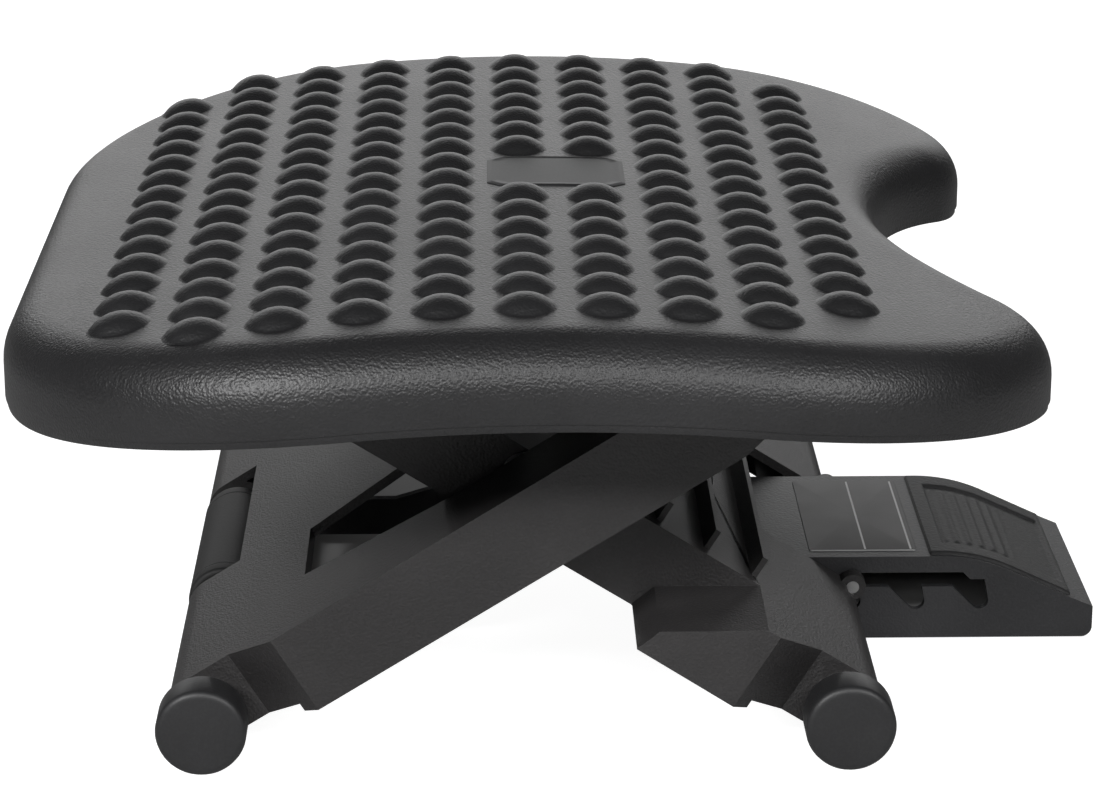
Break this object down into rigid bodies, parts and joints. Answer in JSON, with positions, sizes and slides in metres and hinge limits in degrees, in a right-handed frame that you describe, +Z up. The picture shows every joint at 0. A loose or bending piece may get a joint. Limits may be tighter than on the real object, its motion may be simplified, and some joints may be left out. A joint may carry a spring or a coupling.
{
  "type": "tilting under desk footrest",
  "caption": "Black footrest: a crowned, studded platform that tilts on a crossed pair of height-adjusting frames, with a foot lever and a front roller.",
  "frame": {"origin": "on the floor, in the middle of the whole footrest's outline seen from above", "axes": "+X to the user and the foot lever, +Y along the platform, +Z up"},
  "size_m": [0.4014, 0.434, 0.1758],
  "materials": {
    "platform_plastic": "matte, fine moulded grain",
    "frame_plastic": "matte, fine moulded grain",
    "lever_plastic": "satin black",
    "cap_rubber": "matte rubber",
    "roller_rubber": "matte rubber",
    "roller_plastic": "satin",
    "steel": "bright zinc",
    "label_film": "satin film",
    "nameplate_plastic": "satin"
  },
  "bodies": {
    "lever": {"lever": "lever_plastic", "lever_label": "label_film"},
    "outer_frame": {"outer_frame": "frame_plastic", "outer_cap_near": "cap_rubber", "outer_cap_far": "cap_rubber", "foot_axle": "steel", "cross_rod": "steel", "cross_washer_near": "steel", "cross_washer_far": "steel", "outer_top_rod": "steel"},
    "roller": {"roller_core": "roller_plastic", "roller_sleeve": "roller_rubber"},
    "inner_frame": {"inner_frame": "frame_plastic", "inner_cap_near": "cap_rubber", "inner_cap_far": "cap_rubber", "lock_rod": "steel", "inner_top_rod": "steel", "glide_roller_near": "roller_plastic", "glide_roller_far": "roller_plastic"},
    "carrier": {"carrier": "frame_plastic"},
    "platform": {"platform_shell": "platform_plastic", "nameplate": "nameplate_plastic", "tilt_bracket_near": "steel", "tilt_bracket_far": "steel", "tilt_axle": "steel", "axle_clip_near": "steel", "axle_clip_far": "steel", "bracket_screw_near_1": "steel", "bracket_screw_near_2": "steel", "bracket_screw_far_1": "steel", "bracket_screw_far_2": "steel"}
  },
  "joints": [
    {"name": "height", "type": "hinge", "parent": "lever", "child": "outer_frame", "pos_m": [-0.12925, 0, 0.0156], "axis": [0, 1, 0], "range_deg": [0, 15.58]},
    {"name": "fold", "type": "hinge", "parent": "outer_frame", "child": "inner_frame", "pos_m": [-0.01625, 0, 0.09239], "axis": [0, 1, 0], "range_deg": [-30.01, 0]},
    {"name": "carrier_level", "type": "hinge", "parent": "outer_frame", "child": "carrier", "pos_m": [0.06176, 0, 0.13307], "axis": [0, 1, 0], "range_deg": [-15.01, 0]},
    {"name": "tilt", "type": "hinge", "parent": "carrier", "child": "platform", "pos_m": [-0.01375, 0, 0.148], "axis": [0, 1, 0], "range_deg": [-9, 9]},
    {"name": "roller_spin", "type": "hinge", "parent": "outer_frame", "child": "roller", "pos_m": [-0.12925, 0, 0.0156], "axis": [0, 1, 0], "continuous": true}
  ],
  "couplings": [
    {"joint": "fold", "follows": "height", "ratio": -1.9258},
    {"joint": "carrier_level", "follows": "height", "ratio": -0.9629}
  ]
}
